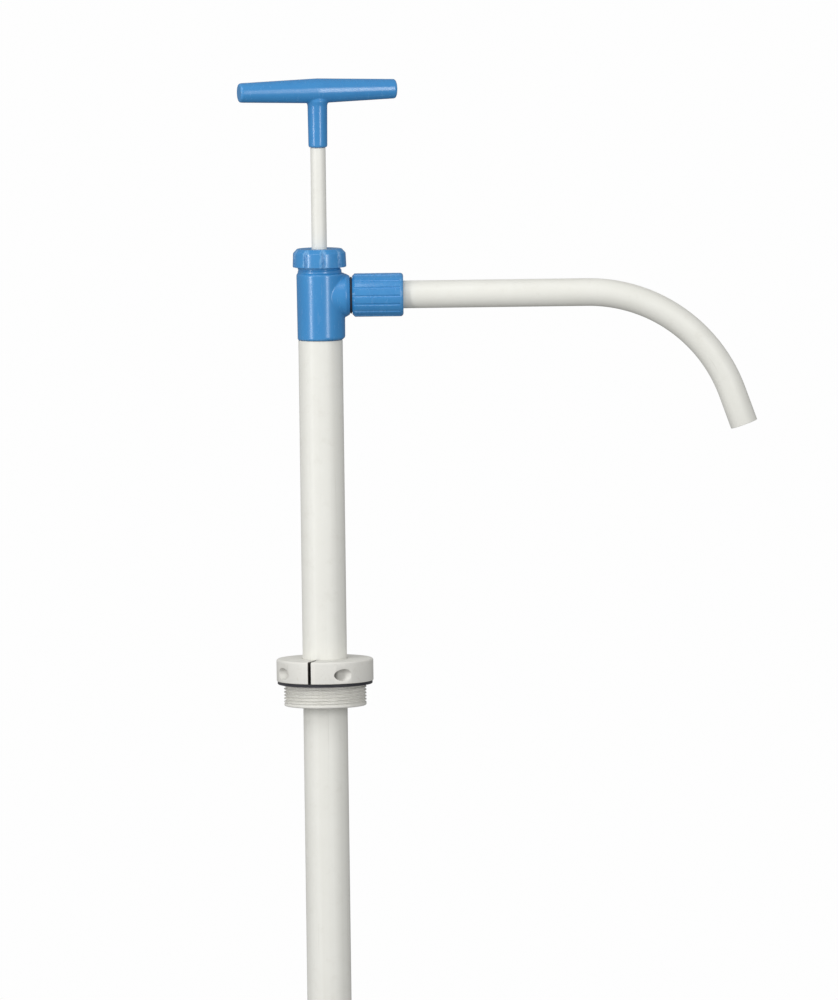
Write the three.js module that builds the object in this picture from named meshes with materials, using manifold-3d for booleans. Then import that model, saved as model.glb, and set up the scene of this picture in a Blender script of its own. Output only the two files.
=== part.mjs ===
// Lift-action drum pump: a T-handle on a rod lifts a valved piston inside a long immersion tube,
// a foot valve holds the column, and the liquid leaves through a head tee and a bent spout.
// A split collar with a bung thread holds the tube at any height in the drum's opening.
//
// Millimetres, +Z up. The origin is on the tube's axis at the underside of the collar's flange,
// and +X runs along the straight part of the spout.

import * as THREE from 'three';
import { mergeVertices } from 'three/addons/utils/BufferGeometryUtils.js';
import Module from 'manifold-3d';

const wasm = await Module();
wasm.setup();

// ---------- Driving dimensions ----------

const GAP = 0.3; // clearance between neighbouring pieces
const OVERCUT = 1; // how far a cutting tool runs past the face that it opens

// Segments round a full turn
const FINE = 36;
const MEDIUM = 28;
const COARSE = 20;

// Drum collar (a 2 inch bung thread) and its clamp screw (M4)
const FLANGE_RADIUS = 35;
const FLANGE_HEIGHT = 16;
const COLLAR_EDGE = 0.8;
const THREAD_RADIUS = 29.8;
const THREAD_LENGTH = 18;
const SKIRT_WALL = 4.5;
const HUB_RADIUS = 20.5;
const HUB_DEPTH = 12;
const GASKET_THICKNESS = 2;
const GASKET_RIM = 0.5; // left bare at the flange's edge
const SLOT_WIDTH = 2.2;
const SLOT_TURN = THREE.MathUtils.degToRad(-18.6); // turn of the slot from the collar's front
const SCREW_OFFSET = 26; // screw axis to tube axis
const SCREW_HEIGHT = 6.4;
const SCREW_RADIUS = 2;
const SCREW_TIP = -15; // along the screw, from the middle of the slot
const RECESS_RADIUS = 4.4;
const RECESS_FLOOR = 9; // from the middle of the slot to each recess floor
const SCREW_HEAD_RADIUS = 3.5;
const SCREW_HEAD_HEIGHT = 4;
const SCREW_EDGE = 0.4;
const KEY_RADIUS = 1.73; // across the corners of the hex socket
const KEY_DEPTH = 2.2;
const WASHER_THICKNESS = 1;
const WASHER_RADIUS = 4;
const CLAMP_NUT_RADIUS = 4.04; // across the corners
const CLAMP_NUT_THICKNESS = 3.2;

// Immersion tube
const TUBE_RADIUS = 16;
const TUBE_BORE = 13.5;
const TUBE_END = -683; // its top meets the head

// Head tee
const HEAD_BOTTOM = 247;
const BODY_HEIGHT = 48;
const BODY_TOP_RADIUS = 17.5;
const BODY_FOOT_RADIUS = 17.2;
const BODY_OFFSET = 0.7; // the body is thicker on its outlet side
const BODY_EDGE = 1;
const BEVEL_RIM = 0.2; // between the tube and the foot of the body's bevel
const BEVEL_RISE = 4;
const SPIGOT_LENGTH = 14;
const SPIGOT_BORE = 10.5;
const CHAMBER_BORE = 12.5;
const CHAMBER_TOP = 41.5; // above the head's bottom
const NECK_RADIUS = 15.8;
const NECK_TOP = 59.5; // above the head's bottom
const GLAND_FLOOR = 45;
const GLAND_BORE = 9.6;
const SEAL_GROOVE_RADIUS = 11.9;
const SEAL_GROOVE_LOW = -9; // below the head's bottom
const SEAL_GROOVE_HIGH = -6;

// Outlet branch, union nut and spout
const OUTLET_HEIGHT = 31.8; // above the head's bottom
const BRANCH_RADIUS = 15.5;
const BRANCH_END_RADIUS = 14;
const BRANCH_SHOULDER = 19;
const BRANCH_END = 21.6;
const BRANCH_THREAD_RADIUS = 12.3;
const BRANCH_THREAD_END = 46;
const ROOT_RING_RADIUS = 13.3;
const OUTLET_BORE = 8.5;
const SOCKET_START = 24;
const NUT_START = 23.4;
const NUT_END = 60.2;
const NUT_RADIUS = 15.7;
const NUT_THROAT = 55.8;
const NUT_BEVEL = 1.8; // at its head end
const NUT_ROUND = 2.2; // at its spout end
const NUT_GROOVES = 16;
const NUT_GROOVE_RADIUS = 1.2;
const NUT_GROOVE_DEPTH = 0.45;
const NUT_GROOVE_SEGMENTS = 8;
const PLAIN_BAND = 2.4; // left without grooves at the nut's spout end
const GRIP_RING_END_RADIUS = 11.4; // the narrow end of the cone that grips the spout
const GRIP_RING_LAND = 1;
const GRIP_RING_SPLIT = 2;
const SPOUT_SEAL_WIDTH = 2.5;
const SPOUT_RADIUS = 10;
const SPOUT_BORE = 8;
const SPOUT_STRAIGHT_END = 193;
const BEND_RADIUS = 110;
const BEND_ANGLE = THREE.MathUtils.degToRad(70.5);
const SPOUT_TAIL = 25;
const BEND_STEPS = 14;

// Gland cap and the stack under it
const CAP_BOTTOM = 299.5;
const CAP_TOP = 312.7;
const CAP_FOOT_RADIUS = 19.4;
const CAP_TOP_RADIUS = 19;
const CAP_LID = 2.3;
const CAP_FOOT_EDGE = 0.6;
const CAP_BEVEL_WIDTH = 2.8;
const CAP_BEVEL_HEIGHT = 3;
const CAP_GRIPS = 9;
const CAP_GRIP_RADIUS = 2;
const CAP_GRIP_CENTRE = 20.2;
const CAP_GRIP_SEGMENTS = 12;
const CAP_GRIP_TURN = THREE.MathUtils.degToRad(9);
const BUSH_HEIGHT = 4;
const ROD_SEAL_HEIGHT = 3.5;
const FOLLOWER_FLANGE_RADIUS = 14.5;

// Rod and T-handle
const ROD_RADIUS = 5.5;
const ROD_END_RADIUS = 3.9;
const STEM_BOTTOM = 386;
const STEM_TOP = 420;
const STEM_FOOT_RADIUS = 6.85;
const STEM_TOP_RADIUS = 7.15;
const STEM_EDGE = 1;
const STEM_FLARE = 1.6; // where the stem meets the grip
const STEM_FLARE_HEIGHT = 4;
const STEM_SOCKET = 24;
const ROD_END_MARGIN = 1; // left free at each end of the rod's thread
const GRIP_HEIGHT = 426.7;
const GRIP_HALF_LENGTH = 58.5;
const GRIP_MIDDLE_RADIUS = 9;
const GRIP_END_RADIUS = 7;
const GRIP_EDGE = 2.2;
const HANDLE_TURN = THREE.MathUtils.degToRad(14.5);

// Piston: it meets the head's spigot at the top of its stroke
const STROKE_UP = 355;
const PISTON_TOP = HEAD_BOTTOM - SPIGOT_LENGTH - STROKE_UP - GAP;
const PISTON_HUB_RADIUS = 7.5;
const PISTON_HUB_HEIGHT = 14;
const PISTON_SHOULDER = 2;
const PISTON_CAGE_RADIUS = 10.9;
const PISTON_SKIRT_RADIUS = 13;
const PISTON_EDGE = 1;
const PISTON_BALL_RADIUS = 7.5;
const PISTON_CHAMBER = 9;
const PISTON_SEAT_BORE = 6;
const PISTON_SEAT_HEIGHT = 9; // from the piston's foot to the edge of its seat
const PISTON_SOCKET_DEPTH = 5;
const PISTON_WINDOW_WIDTH = 8;
const PISTON_WINDOW_HEIGHT = 6;
const PISTON_GROOVE_RADIUS = 10.5;
const PISTON_GROOVE_START = 2.6; // below the seat's edge
const PISTON_GROOVE_WIDTH = 4.4;
const BALL_LIFT = 6;

// Foot valve and strainer
const FOOT_BALL_RADIUS = 8;
const FOOT_SEAT_BORE = 6.5;
const FOOT_CHAMBER = 9.25;
const FOOT_SEAT_HEIGHT = 5; // of the seat edge above the tube's end
const FOOT_CAGE_HEIGHT = 33;
const FOOT_FLANGE = 3.4;
const FOOT_SKIRT = 5.3;
const FOOT_SKIRT_RADIUS = 12.6;
const STOP_PIN_RADIUS = 1.25;
const FOOT_BOTTOM = -701;
const STRAINER_EDGE = 1;
const STRAINER_NOTCHES = 6;
const NOTCH_WIDTH = 5;
const NOTCH_HEIGHT = 8;

// ---------- Materials ----------

function plastic(colour, roughness) {
  return new THREE.MeshStandardMaterial({ color: colour, roughness, metalness: 0 });
}

const BLUE = plastic(0x468ec6, 0.38);
const CREAM = plastic(0xe6e5df, 0.5);
const BLACK = plastic(0x1c1c20, 0.6);
const WHITE = plastic(0xf2f1ec, 0.45);
const STEEL = new THREE.MeshStandardMaterial({ color: 0xb9bcc0, roughness: 0.35, metalness: 1 });

// ---------- Making solids ----------

function signedVolume(positions, triangles) {
  const a = new THREE.Vector3();
  const b = new THREE.Vector3();
  const c = new THREE.Vector3();
  let volume = 0;
  for (let i = 0; i < triangles.length; i += 3) {
    a.fromArray(positions, 3 * triangles[i]);
    b.fromArray(positions, 3 * triangles[i + 1]);
    c.fromArray(positions, 3 * triangles[i + 2]);
    volume += a.dot(b.cross(c)) / 6;
  }
  return volume;
}

// A closed geometry as a solid with its faces pointing out
function solid(geometry) {
  geometry.deleteAttribute('normal');
  geometry.deleteAttribute('uv');
  const merged = mergeVertices(geometry, 1e-4);
  const positions = Float32Array.from(merged.attributes.position.array);
  const source = merged.index.array;
  const triangles = [];
  for (let i = 0; i < source.length; i += 3) {
    const [p, q, r] = [source[i], source[i + 1], source[i + 2]];
    if (p !== q && q !== r && r !== p) {
      triangles.push(p, q, r);
    }
  }
  if (signedVolume(positions, triangles) < 0) {
    triangles.reverse();
  }
  const mesh = new wasm.Mesh({
    numProp: 3,
    vertProperties: positions,
    triVerts: Uint32Array.from(triangles),
  });
  return new wasm.Manifold(mesh);
}

// A profile of [radius, height] points turned round an upright axis at x, y; it starts and ends
// on the axis or closes on itself
function turned(profile, segments, x = 0, y = 0) {
  const points = profile.map(([radius, height]) => new THREE.Vector2(radius, height));
  const geometry = new THREE.LatheGeometry(points, segments);
  return solid(geometry.rotateX(Math.PI / 2).translate(x, y, 0));
}

// A ring whose profile goes round all its corners
function ring(corners, segments) {
  return turned([...corners, corners[0]], segments);
}

function washerRing(inner, outer, low, high, segments) {
  return ring([[inner, low], [outer, low], [outer, high], [inner, high]], segments);
}

function rod(radius, low, high, segments, x = 0, y = 0) {
  return turned([[0, low], [radius, low], [radius, high], [0, high]], segments, x, y);
}

function ball(radius, height) {
  return solid(new THREE.SphereGeometry(radius, COARSE, COARSE / 2).translate(0, 0, height));
}

function block(sizeX, sizeY, sizeZ, x, y, z) {
  return solid(new THREE.BoxGeometry(sizeX, sizeY, sizeZ).translate(x, y, z));
}

// A rod along Z turned to lie along X, then set at a height
function rodAlongX(radius, start, end, y, z, segments) {
  const geometry = new THREE.CylinderGeometry(radius, radius, end - start, segments);
  return solid(geometry.rotateZ(Math.PI / 2).translate((start + end) / 2, y, z));
}

function union(...parts) {
  return parts.reduce((whole, part) => whole.add(part));
}

function cut(whole, ...tools) {
  return tools.reduce((left, tool) => left.subtract(tool), whole);
}

// The points of a round corner between two directions, as an arc about its centre
function arc(centreRadius, centreHeight, radius, from, to, steps) {
  const points = [];
  for (let i = 0; i <= steps; i += 1) {
    const angle = THREE.MathUtils.degToRad(from + ((to - from) * i) / steps);
    points.push([centreRadius + radius * Math.cos(angle), centreHeight + radius * Math.sin(angle)]);
  }
  return points;
}

function piece(name, shape, material) {
  const { vertProperties, triVerts } = shape.getMesh();
  const geometry = new THREE.BufferGeometry();
  geometry.setAttribute('position', new THREE.BufferAttribute(Float32Array.from(vertProperties), 3));
  geometry.setIndex(new THREE.BufferAttribute(Uint32Array.from(triVerts), 1));
  geometry.computeVertexNormals();
  const mesh = new THREE.Mesh(geometry, material);
  mesh.name = name;
  return mesh;
}

function groupAt(x, y, z, ...pieces) {
  const group = new THREE.Group();
  group.position.set(x, y, z);
  group.add(...pieces);
  return group;
}

// ---------- Drum collar ----------

const BORE_IN_COLLAR = TUBE_RADIUS + GAP;

// Flange, threaded skirt and inner hub in one moulding; its frame is turned so that
// the slot lies at the front and the clamp screw runs along X.
function drumCollar() {
  const skirtBore = THREAD_RADIUS - SKIRT_WALL;
  const body = ring([
    [BORE_IN_COLLAR, -HUB_DEPTH],
    [HUB_RADIUS, -HUB_DEPTH],
    [HUB_RADIUS, 0],
    [skirtBore, 0],
    [skirtBore, -THREAD_LENGTH],
    [THREAD_RADIUS - COLLAR_EDGE, -THREAD_LENGTH],
    [THREAD_RADIUS, COLLAR_EDGE - THREAD_LENGTH],
    [THREAD_RADIUS, 0],
    [FLANGE_RADIUS, 0],
    [FLANGE_RADIUS, FLANGE_HEIGHT - COLLAR_EDGE],
    [FLANGE_RADIUS - COLLAR_EDGE, FLANGE_HEIGHT],
    [BORE_IN_COLLAR, FLANGE_HEIGHT],
  ], FINE);
  const slotReach = FLANGE_RADIUS + OVERCUT;
  const slotHeight = FLANGE_HEIGHT + HUB_DEPTH + 2 * OVERCUT;
  const slotMiddle = (FLANGE_HEIGHT - HUB_DEPTH) / 2;
  // Below the flange the slot only splits the inner hub
  const slot = cut(
    block(SLOT_WIDTH, slotReach, slotHeight, 0, -slotReach / 2, slotMiddle),
    block(
      SLOT_WIDTH + OVERCUT, slotReach, THREAD_LENGTH,
      0, OVERCUT - skirtBore - slotReach / 2, -THREAD_LENGTH / 2),
  );
  const reach = FLANGE_RADIUS;
  const screwHole = rodAlongX(SCREW_RADIUS + GAP, -reach, reach, -SCREW_OFFSET, SCREW_HEIGHT, COARSE);
  const headRecess = rodAlongX(
    RECESS_RADIUS, RECESS_FLOOR, reach, -SCREW_OFFSET, SCREW_HEIGHT, MEDIUM);
  const nutRecess = rodAlongX(
    RECESS_RADIUS, -reach, -RECESS_FLOOR, -SCREW_OFFSET, SCREW_HEIGHT, MEDIUM);
  return cut(body, slot, screwHole, headRecess, nutRecess);
}

function collarGasket() {
  return washerRing(
    THREAD_RADIUS + GAP, FLANGE_RADIUS - GASKET_RIM, -GAP - GASKET_THICKNESS, -GAP, MEDIUM);
}

// The clamp pieces are turned about Z here; their group lays them along the screw's line.
const WASHER_START = RECESS_FLOOR + GAP;
const HEAD_START = WASHER_START + WASHER_THICKNESS + GAP;

function clampScrew() {
  const headEnd = HEAD_START + SCREW_HEAD_HEIGHT;
  const screw = turned([
    [0, SCREW_TIP],
    [SCREW_RADIUS - SCREW_EDGE, SCREW_TIP],
    [SCREW_RADIUS, SCREW_TIP + SCREW_EDGE],
    [SCREW_RADIUS, HEAD_START],
    [SCREW_HEAD_RADIUS, HEAD_START],
    [SCREW_HEAD_RADIUS, headEnd - SCREW_EDGE],
    [SCREW_HEAD_RADIUS - SCREW_EDGE, headEnd],
    [0, headEnd],
  ], COARSE);
  return cut(screw, rod(KEY_RADIUS, headEnd - KEY_DEPTH, headEnd + OVERCUT, 6));
}

function clampWasher() {
  return washerRing(
    SCREW_RADIUS + GAP, WASHER_RADIUS, WASHER_START, WASHER_START + WASHER_THICKNESS, COARSE);
}

function clampNut() {
  const start = -RECESS_FLOOR - GAP;
  const end = start - CLAMP_NUT_THICKNESS;
  return cut(
    rod(CLAMP_NUT_RADIUS, end, start, 6),
    rod(SCREW_RADIUS + GAP, end - OVERCUT, start + OVERCUT, COARSE),
  );
}

// ---------- Immersion tube and foot valve ----------

function immersionTube() {
  return washerRing(TUBE_BORE, TUBE_RADIUS, TUBE_END, HEAD_BOTTOM - GAP, FINE);
}

// How far a ball's centre stands over the edge of its 45 degree seat, just clear of it
function seatLift(ballRadius, seatBore) {
  return (ballRadius + GAP) * Math.SQRT2 - seatBore;
}

// Heights from here to the strainer are above the tube's lower end
const FOOT_BALL_REST = FOOT_SEAT_HEIGHT + seatLift(FOOT_BALL_RADIUS, FOOT_SEAT_BORE);
const STOP_PIN_HEIGHT = FOOT_BALL_REST + FOOT_BALL_RADIUS + BALL_LIFT + GAP + STOP_PIN_RADIUS;
const FOOT_SPIGOT_RADIUS = TUBE_BORE - GAP;

function footValveSeat() {
  const flangeBottom = -GAP - FOOT_FLANGE;
  const seatWidth = FOOT_CHAMBER - FOOT_SEAT_BORE;
  const body = ring([
    [FOOT_SEAT_BORE, flangeBottom - FOOT_SKIRT],
    [FOOT_SKIRT_RADIUS, flangeBottom - FOOT_SKIRT],
    [FOOT_SKIRT_RADIUS, flangeBottom],
    [TUBE_RADIUS, flangeBottom],
    [TUBE_RADIUS, -GAP],
    [FOOT_SPIGOT_RADIUS, -GAP],
    [FOOT_SPIGOT_RADIUS, FOOT_CAGE_HEIGHT],
    [FOOT_CHAMBER, FOOT_CAGE_HEIGHT],
    [FOOT_CHAMBER, FOOT_SEAT_HEIGHT + seatWidth],
    [FOOT_SEAT_BORE, FOOT_SEAT_HEIGHT],
  ], MEDIUM);
  return cut(body, rodAlongX(
    STOP_PIN_RADIUS + GAP, -TUBE_RADIUS, TUBE_RADIUS, 0, STOP_PIN_HEIGHT, COARSE));
}

function footStopPin() {
  const halfLength = FOOT_SPIGOT_RADIUS - GAP;
  return rodAlongX(STOP_PIN_RADIUS, -halfLength, halfLength, 0, STOP_PIN_HEIGHT, COARSE);
}

function footStrainer() {
  const top = -GAP - FOOT_FLANGE - GAP;
  const bottom = FOOT_BOTTOM - TUBE_END;
  let strainer = ring([
    [FOOT_SKIRT_RADIUS + GAP, bottom],
    [TUBE_RADIUS - STRAINER_EDGE, bottom],
    [TUBE_RADIUS, bottom + STRAINER_EDGE],
    [TUBE_RADIUS, top],
    [FOOT_SKIRT_RADIUS + GAP, top],
  ], MEDIUM);
  for (let i = 0; i < STRAINER_NOTCHES / 2; i += 1) {
    const notch = new THREE.BoxGeometry(3 * TUBE_RADIUS, NOTCH_WIDTH, 2 * NOTCH_HEIGHT);
    notch.rotateZ((i * 2 * Math.PI) / STRAINER_NOTCHES).translate(0, 0, bottom);
    strainer = cut(strainer, solid(notch));
  }
  return strainer;
}

// ---------- Head tee (heights above the head's bottom) ----------

const SOCKET_BORE = SPOUT_RADIUS + GAP;
const ROD_CLEARANCE = ROD_RADIUS + GAP;

function headBody() {
  const shell = turned([
    [0, 0],
    [BODY_FOOT_RADIUS, 0],
    [BODY_TOP_RADIUS, BODY_HEIGHT - BODY_EDGE],
    [BODY_TOP_RADIUS - BODY_EDGE / 3, BODY_HEIGHT - BODY_EDGE / 3],
    [BODY_TOP_RADIUS - BODY_EDGE, BODY_HEIGHT],
    [0, BODY_HEIGHT],
  ], FINE, BODY_OFFSET);
  // A cone about the tube's axis bevels the eccentric body's lower edge
  const bevelFoot = TUBE_RADIUS + BEVEL_RIM;
  const bevel = turned([
    [0, 0],
    [bevelFoot, 0],
    [bevelFoot + BEVEL_RISE, BEVEL_RISE],
    [bevelFoot + BEVEL_RISE, BODY_HEIGHT + OVERCUT],
    [0, BODY_HEIGHT + OVERCUT],
  ], FINE);
  return shell.intersect(bevel);
}

function headOutlet() {
  const geometry = new THREE.LatheGeometry([
    [0, 0],
    [BRANCH_RADIUS, 0],
    [BRANCH_RADIUS, BRANCH_SHOULDER],
    [BRANCH_END_RADIUS, BRANCH_END],
    [BRANCH_THREAD_RADIUS, BRANCH_END],
    [BRANCH_THREAD_RADIUS, BRANCH_THREAD_END],
    [0, BRANCH_THREAD_END],
  ].map(([radius, along]) => new THREE.Vector2(radius, along)), FINE);
  return solid(geometry.rotateZ(-Math.PI / 2).translate(0, 0, OUTLET_HEIGHT));
}

function pumpHead() {
  const spigotRadius = TUBE_BORE - GAP;
  const spigot = turned([
    [0, -SPIGOT_LENGTH],
    [spigotRadius, -SPIGOT_LENGTH],
    [spigotRadius, SEAL_GROOVE_LOW],
    [SEAL_GROOVE_RADIUS, SEAL_GROOVE_LOW],
    [SEAL_GROOVE_RADIUS, SEAL_GROOVE_HIGH],
    [spigotRadius, SEAL_GROOVE_HIGH],
    [spigotRadius, OVERCUT],
    [0, OVERCUT],
  ], FINE);
  const neck = rod(NECK_RADIUS, BODY_HEIGHT - OVERCUT, NECK_TOP, FINE);
  const chamber = turned([
    [0, -SPIGOT_LENGTH - OVERCUT],
    [SPIGOT_BORE, -SPIGOT_LENGTH - OVERCUT],
    [SPIGOT_BORE, 0],
    [CHAMBER_BORE, CHAMBER_BORE - SPIGOT_BORE],
    [CHAMBER_BORE, CHAMBER_TOP],
    [0, CHAMBER_TOP],
  ], FINE);
  const rodHole = rod(ROD_CLEARANCE, CHAMBER_TOP - OVERCUT, GLAND_FLOOR + OVERCUT, MEDIUM);
  const gland = rod(GLAND_BORE, GLAND_FLOOR, NECK_TOP + OVERCUT, FINE);
  const outletBore = rodAlongX(OUTLET_BORE, 0, SOCKET_START + OVERCUT, 0, OUTLET_HEIGHT, MEDIUM);
  const socket = rodAlongX(
    SOCKET_BORE, SOCKET_START, BRANCH_THREAD_END + OVERCUT, 0, OUTLET_HEIGHT, MEDIUM);
  const outside = union(headBody(), headOutlet(), spigot, neck);
  return cut(outside, chamber, rodHole, gland, outletBore, socket);
}

function tubeSealRing() {
  return washerRing(
    SEAL_GROOVE_RADIUS + GAP,
    TUBE_BORE - GAP,
    SEAL_GROOVE_LOW + GAP,
    SEAL_GROOVE_HIGH - GAP,
    MEDIUM,
  );
}

// ---------- Gland ----------

const BUSH_BOTTOM = HEAD_BOTTOM + GLAND_FLOOR + GAP;
const LOWER_SEAL_BOTTOM = BUSH_BOTTOM + BUSH_HEIGHT + GAP;
const UPPER_SEAL_BOTTOM = LOWER_SEAL_BOTTOM + ROD_SEAL_HEIGHT + GAP;
const FOLLOWER_BOTTOM = UPPER_SEAL_BOTTOM + ROD_SEAL_HEIGHT + GAP;

function glandRing(bottom, height) {
  return washerRing(ROD_CLEARANCE, GLAND_BORE - GAP, bottom, bottom + height, MEDIUM);
}

function glandFollower() {
  const flangeBottom = HEAD_BOTTOM + NECK_TOP + GAP;
  return ring([
    [ROD_CLEARANCE, FOLLOWER_BOTTOM],
    [GLAND_BORE - GAP, FOLLOWER_BOTTOM],
    [GLAND_BORE - GAP, flangeBottom],
    [FOLLOWER_FLANGE_RADIUS, flangeBottom],
    [FOLLOWER_FLANGE_RADIUS, CAP_TOP - CAP_LID - GAP],
    [ROD_CLEARANCE, CAP_TOP - CAP_LID - GAP],
  ], MEDIUM);
}

function glandCap() {
  const threadBore = NECK_RADIUS + GAP;
  let cap = ring([
    [threadBore, CAP_BOTTOM],
    [CAP_FOOT_RADIUS - CAP_FOOT_EDGE, CAP_BOTTOM],
    [CAP_FOOT_RADIUS, CAP_BOTTOM + CAP_FOOT_EDGE],
    [CAP_TOP_RADIUS, CAP_TOP - CAP_BEVEL_HEIGHT],
    [CAP_TOP_RADIUS - CAP_BEVEL_WIDTH, CAP_TOP],
    [ROD_CLEARANCE, CAP_TOP],
    [ROD_CLEARANCE, CAP_TOP - CAP_LID],
    [threadBore, CAP_TOP - CAP_LID],
  ], FINE);
  const low = CAP_BOTTOM - OVERCUT;
  const high = CAP_TOP + OVERCUT;
  for (let i = 0; i < CAP_GRIPS; i += 1) {
    const turn = CAP_GRIP_TURN + (i * 2 * Math.PI) / CAP_GRIPS;
    const x = CAP_GRIP_CENTRE * Math.sin(turn);
    const y = -CAP_GRIP_CENTRE * Math.cos(turn);
    cap = cut(cap, rod(CAP_GRIP_RADIUS, low, high, CAP_GRIP_SEGMENTS, x, y));
  }
  return cap;
}

// ---------- Outlet pieces (turned about the outlet's own axis) ----------

function threadRootRing() {
  return washerRing(
    BRANCH_THREAD_RADIUS + GAP, ROOT_RING_RADIUS, BRANCH_END + GAP, NUT_START - GAP, MEDIUM);
}

const SPOUT_SEAL_START = BRANCH_THREAD_END + GAP;
const GRIP_RING_START = SPOUT_SEAL_START + SPOUT_SEAL_WIDTH + GAP;
const GRIP_RING_END = NUT_THROAT - GAP;

function spoutSeal() {
  return washerRing(
    SOCKET_BORE,
    BRANCH_THREAD_RADIUS,
    SPOUT_SEAL_START,
    SPOUT_SEAL_START + SPOUT_SEAL_WIDTH,
    MEDIUM,
  );
}

function gripRing() {
  const body = ring([
    [SOCKET_BORE, GRIP_RING_START],
    [BRANCH_THREAD_RADIUS, GRIP_RING_START],
    [BRANCH_THREAD_RADIUS, GRIP_RING_START + GRIP_RING_LAND],
    [GRIP_RING_END_RADIUS, GRIP_RING_END],
    [SOCKET_BORE, GRIP_RING_END],
  ], MEDIUM);
  const reach = BRANCH_THREAD_RADIUS;
  return cut(body, block(reach, GRIP_RING_SPLIT, NUT_END, reach, 0, NUT_END));
}

function unionNut() {
  const threadBore = BRANCH_THREAD_RADIUS + GAP;
  let nut = ring([
    [threadBore, NUT_START],
    [NUT_RADIUS - NUT_BEVEL, NUT_START],
    [NUT_RADIUS, NUT_START + NUT_BEVEL],
    ...arc(NUT_RADIUS - NUT_ROUND, NUT_END - NUT_ROUND, NUT_ROUND, 0, 90, 4),
    [SOCKET_BORE, NUT_END],
    [SOCKET_BORE, NUT_THROAT],
    [GRIP_RING_END_RADIUS + GAP, NUT_THROAT],
    [threadBore, GRIP_RING_START + GRIP_RING_LAND],
  ], FINE);
  const centre = NUT_RADIUS + NUT_GROOVE_RADIUS - NUT_GROOVE_DEPTH;
  const start = NUT_START - OVERCUT;
  const end = NUT_END - PLAIN_BAND;
  for (let i = 0; i < NUT_GROOVES; i += 1) {
    const turn = (i * 2 * Math.PI) / NUT_GROOVES;
    const x = centre * Math.cos(turn);
    const y = centre * Math.sin(turn);
    nut = cut(nut, rod(NUT_GROOVE_RADIUS, start, end, NUT_GROOVE_SEGMENTS, x, y));
  }
  return nut;
}

// The spout's centre line in the outlet's frame: straight, round the bend, straight again.
// It is sampled so that each straight part is one step and only the bend is divided.
class SpoutPath extends THREE.Curve {
  getPointAt(u, target = new THREE.Vector3()) {
    const step = u * (BEND_STEPS + 2);
    const turn = (BEND_ANGLE * THREE.MathUtils.clamp(step - 1, 0, BEND_STEPS)) / BEND_STEPS;
    const along = SPOUT_STRAIGHT_END - SOCKET_START - GAP;
    const before = Math.min(step - 1, 0) * along;
    const after = Math.max(step - 1 - BEND_STEPS, 0) * SPOUT_TAIL;
    return target.set(
      BEND_RADIUS * (1 - Math.cos(turn)) + after * Math.sin(turn),
      0,
      SPOUT_STRAIGHT_END + before + BEND_RADIUS * Math.sin(turn) + after * Math.cos(turn),
    );
  }

  getTangentAt(u, target = new THREE.Vector3()) {
    const step = u * (BEND_STEPS + 2);
    const turn = (BEND_ANGLE * THREE.MathUtils.clamp(step - 1, 0, BEND_STEPS)) / BEND_STEPS;
    return target.set(Math.sin(turn), 0, Math.cos(turn));
  }
}

function spout() {
  const section = new THREE.Shape().absarc(0, 0, SPOUT_RADIUS, 0, 2 * Math.PI);
  section.holes.push(new THREE.Path().absarc(0, 0, SPOUT_BORE, 0, 2 * Math.PI, true));
  return solid(new THREE.ExtrudeGeometry(section, {
    steps: BEND_STEPS + 2,
    curveSegments: COARSE / 2 + 2, // a full turn takes twice as many
    extrudePath: new SpoutPath(),
  }));
}

// ---------- Rod and T-handle ----------

function pistonRod() {
  const shoulder = STEM_BOTTOM - GAP;
  const handleEnd = shoulder + STEM_SOCKET - ROD_END_MARGIN;
  const pistonEnd = PISTON_TOP - PISTON_HUB_HEIGHT + ROD_END_MARGIN;
  return turned([
    [0, pistonEnd],
    [ROD_END_RADIUS, pistonEnd],
    [ROD_END_RADIUS, PISTON_TOP + GAP],
    [ROD_RADIUS, PISTON_TOP + GAP],
    [ROD_RADIUS, shoulder],
    [ROD_END_RADIUS, shoulder],
    [ROD_END_RADIUS, handleEnd],
    [0, handleEnd],
  ], MEDIUM);
}

function handle() {
  const grip = new THREE.LatheGeometry([
    [0, -GRIP_HALF_LENGTH],
    [GRIP_END_RADIUS - GRIP_EDGE, -GRIP_HALF_LENGTH],
    [GRIP_END_RADIUS, GRIP_EDGE - GRIP_HALF_LENGTH],
    [GRIP_MIDDLE_RADIUS, 0],
    [GRIP_END_RADIUS, GRIP_HALF_LENGTH - GRIP_EDGE],
    [GRIP_END_RADIUS - GRIP_EDGE, GRIP_HALF_LENGTH],
    [0, GRIP_HALF_LENGTH],
  ].map(([radius, along]) => new THREE.Vector2(radius, along)), MEDIUM);
  grip.rotateZ(-Math.PI / 2).translate(0, 0, GRIP_HEIGHT);
  const stem = turned([
    [0, STEM_BOTTOM],
    [STEM_FOOT_RADIUS - STEM_EDGE, STEM_BOTTOM],
    [STEM_FOOT_RADIUS, STEM_BOTTOM + STEM_EDGE],
    [STEM_TOP_RADIUS, STEM_TOP - STEM_FLARE_HEIGHT],
    [STEM_TOP_RADIUS + STEM_FLARE, STEM_TOP],
    [0, GRIP_HEIGHT],
  ], MEDIUM);
  const socketTop = STEM_BOTTOM + STEM_SOCKET;
  const socket = rod(ROD_END_RADIUS + GAP, STEM_BOTTOM - OVERCUT, socketTop, MEDIUM);
  return cut(union(solid(grip), stem), socket);
}

// ---------- Piston (heights below its top) ----------

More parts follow.
